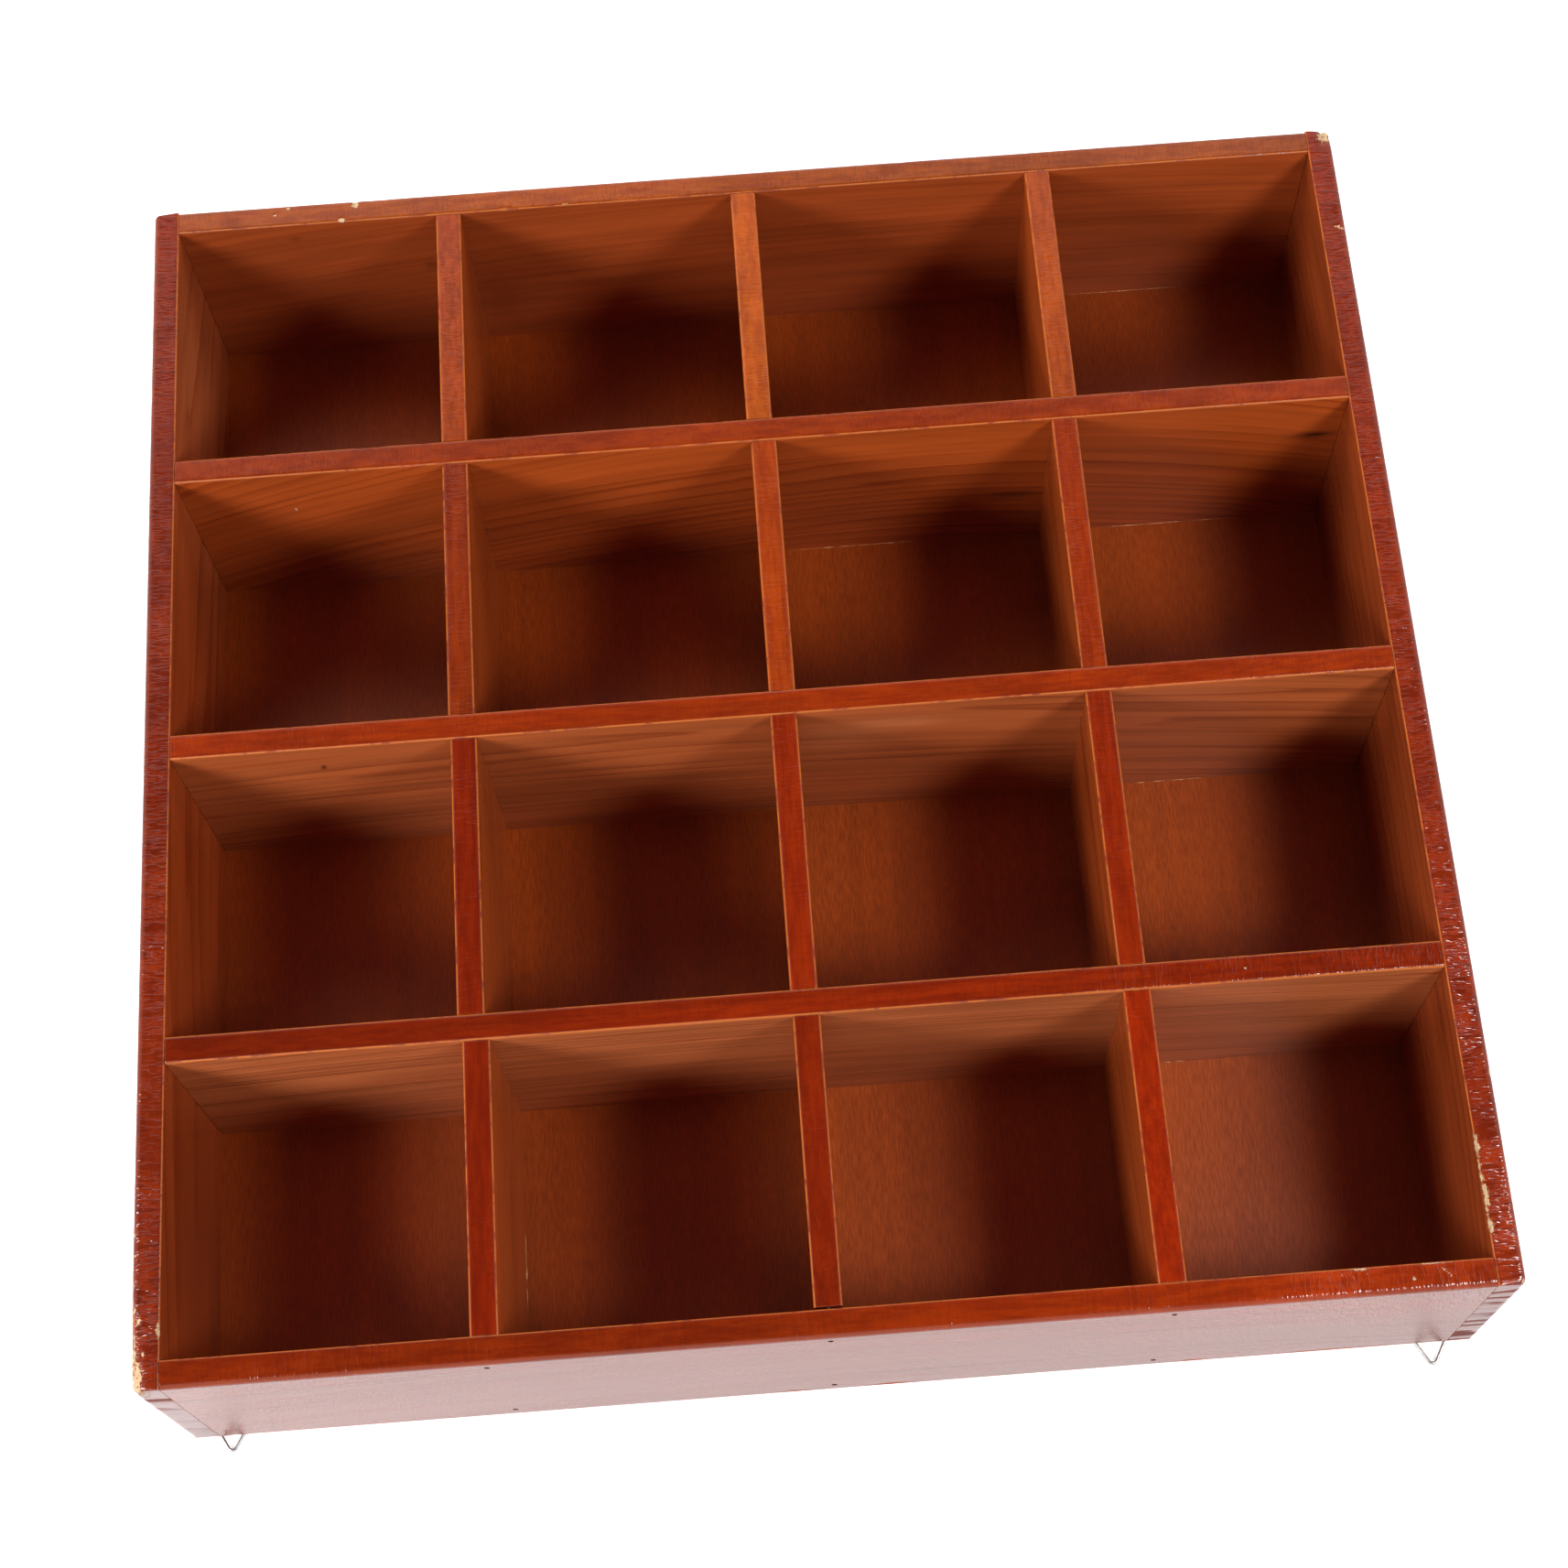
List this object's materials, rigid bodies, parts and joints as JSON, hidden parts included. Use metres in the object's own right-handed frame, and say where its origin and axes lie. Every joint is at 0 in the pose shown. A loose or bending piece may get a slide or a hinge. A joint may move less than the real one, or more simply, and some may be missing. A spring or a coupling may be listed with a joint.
{
  "type": "compartment storage box",
  "caption": "Shallow square wooden box with a grid of open compartments, a thin back panel, and wire rings in folded straps for hanging it on a wall.",
  "frame": {"origin": "below the middle of the whole box, hanging rings included, at the height of the hanger eyes' undersides", "axes": "+Z out of the open cells, +X along the hanging wall to the right as seen from it, -Y to the wall with the rings, which is the top when the box hangs"},
  "size_m": [0.45, 0.4574, 0.0906],
  "materials": {
    "wall_pine": "glossy",
    "divider_pine": "glossy",
    "plywood": "satin",
    "brad_steel": "satin",
    "hanger_steel": "satin"
  },
  "bodies": {
    "box": {"back_panel": "plywood", "left_side": "wall_pine", "right_side": "wall_pine", "hanging_wall": "wall_pine", "base_wall": "wall_pine", "long_divider_1": "divider_pine", "long_divider_2": "divider_pine", "long_divider_3": "divider_pine", "short_divider_1_1": "divider_pine", "short_divider_1_2": "divider_pine", "short_divider_1_3": "divider_pine", "short_divider_2_1": "divider_pine", "short_divider_2_2": "divider_pine", "short_divider_2_3": "divider_pine", "short_divider_3_1": "divider_pine", "short_divider_3_2": "divider_pine", "short_divider_3_3": "divider_pine", "short_divider_4_1": "divider_pine", "short_divider_4_2": "divider_pine", "short_divider_4_3": "divider_pine", "end_brads": "brad_steel", "side_brads": "brad_steel", "corner_brads": "brad_steel", "divider_brads": "brad_steel", "panel_brads": "brad_steel", "hanger_strap_left": "hanger_steel", "hanger_strap_right": "hanger_steel", "hanger_nails": "hanger_steel"},
    "left_ring": {"hanger_ring_left": "hanger_steel"},
    "right_ring": {"hanger_ring_right": "hanger_steel"}
  },
  "joints": [
    {"name": "left_ring_swing", "type": "hinge", "parent": "box", "child": "left_ring", "pos_m": [-0.2118, -0.21709, 0.00128], "axis": [1, 0, 0], "range_deg": [0, 160]},
    {"name": "right_ring_swing", "type": "hinge", "parent": "box", "child": "right_ring", "pos_m": [0.2105, -0.21929, 0.00128], "axis": [1, 0, 0], "range_deg": [0, 160]}
  ]
}
